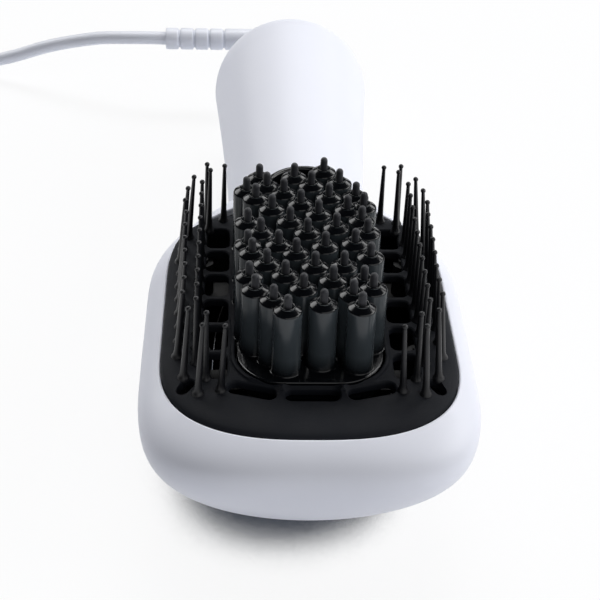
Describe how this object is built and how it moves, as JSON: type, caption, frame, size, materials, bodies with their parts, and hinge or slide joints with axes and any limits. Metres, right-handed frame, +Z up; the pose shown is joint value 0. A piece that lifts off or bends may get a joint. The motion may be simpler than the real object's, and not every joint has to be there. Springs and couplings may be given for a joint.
{
  "type": "hot air brush",
  "caption": "Paddle-shaped hot air brush: vented pin plate round a heated pad of soft-tipped pillars, round handle with fan, two push buttons, swivelling cord.",
  "frame": {"origin": "middle of the brush without its cord, on the surface that it rests on", "axes": "+Y along the brush from the head to the cord outlet, +Z up, the way the pins point, +X to the right seen from the head"},
  "size_m": [0.2728, 0.2598, 0.0604],
  "materials": {
    "alumina": "ceramic heating slab",
    "black_gloss": "glossy black moulded plastic",
    "black_matt": "fine-textured black moulded plastic",
    "board_green": "green solder-mask board",
    "button_grey": "satin grey moulded plastic",
    "cord_grey": "pale grey flexible PVC",
    "dark_plastic": "dark heat-resistant moulded plastic",
    "filter": "dark fine filter frame",
    "heater_wire": "nickel-chromium wire",
    "mica": "pressed mica sheet",
    "plug_brass": "nickel-free brass pins",
    "soft_tips": "soft dark silicone, matt",
    "steel": "plain steel",
    "white_shell": "satin white moulded plastic"
  },
  "bodies": {
    "brush": {"main_housing": "white_shell", "back_cover": "white_shell", "tail_cap": "white_shell", "cord_outlet": "white_shell", "bristle_plate": "black_matt", "heater_pad": "black_gloss", "tip_mat": "soft_tips", "pad_heater": "alumina", "insulator_sheet": "mica", "heater_bracket": "dark_plastic", "thermal_fuse": "steel", "thermistor": "mica", "mica_former": "mica", "heating_wire": "heater_wire", "heater_sleeve": "mica", "ion_emitter": "dark_plastic", "motor_mount": "dark_plastic", "fan_motor": "steel", "dust_filter": "filter", "control_board": "board_green", "button_bezel": "button_grey", "cover_screw_left_front": "steel", "cover_screw_left_back": "steel", "cover_screw_right_front": "steel", "cover_screw_right_back": "steel", "mains_cord": "cord_grey", "cord_coil": "cord_grey", "cord_tie": "dark_plastic", "mains_plug": "cord_grey", "plug_pin_left": "plug_brass", "plug_pin_right": "plug_brass"},
    "fan": {"fan_impeller": "dark_plastic"},
    "power_key": {"power_button": "button_grey"},
    "heat_key": {"heat_button": "button_grey"},
    "cord_swivel": {"strain_relief": "cord_grey"}
  },
  "joints": [
    {"name": "fan_spin", "type": "hinge", "parent": "brush", "child": "fan", "pos_m": [0, 0.05575, 0.02422], "axis": [0, 1, 0], "continuous": true},
    {"name": "power_press", "type": "slide", "parent": "brush", "child": "power_key", "axis": [0, 0, 1], "range_m": [0, 0.0008], "stiffness_N_per_m": 1200},
    {"name": "heat_press", "type": "slide", "parent": "brush", "child": "heat_key", "axis": [0, 0, 1], "range_m": [0, 0.0008], "stiffness_N_per_m": 1200},
    {"name": "cord_turn", "type": "hinge", "parent": "brush", "child": "cord_swivel", "pos_m": [-0.009, 0.11025, 0.02445], "axis": [1, 0, 0], "continuous": true}
  ]
}
